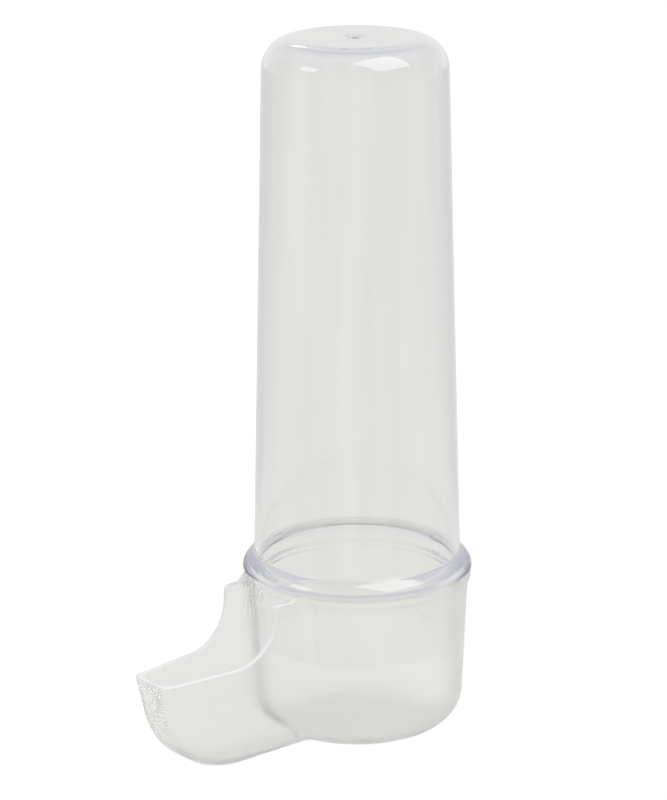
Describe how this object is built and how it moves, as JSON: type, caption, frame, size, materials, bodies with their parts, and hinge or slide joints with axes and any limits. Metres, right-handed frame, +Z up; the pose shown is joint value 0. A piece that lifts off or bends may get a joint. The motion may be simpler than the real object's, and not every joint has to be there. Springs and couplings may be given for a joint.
{
  "type": "bird water drinker",
  "caption": "Gravity drinker for cage birds: a clear closed tube plugs mouth down into a translucent cup whose side opens into a tapered drinking trough.",
  "frame": {"origin": "on the tube's axis, on the plane of the cup's flat foot", "axes": "+Z up along the tube's axis, the trough points along -Y, +X to its right"},
  "size_m": [0.0492, 0.0809, 0.15],
  "materials": {
    "milky_propylene": "milky translucent moulding, soft gloss",
    "clear_styrene": "clear moulding, polished"
  },
  "bodies": {
    "base": {"drinking_base": "milky_propylene"},
    "tube": {"reservoir_tube": "clear_styrene"}
  },
  "joints": [
    {"name": "tube_lift", "type": "slide", "parent": "base", "child": "tube", "axis": [0, 0, 1], "range_m": [0, 0.03]}
  ]
}
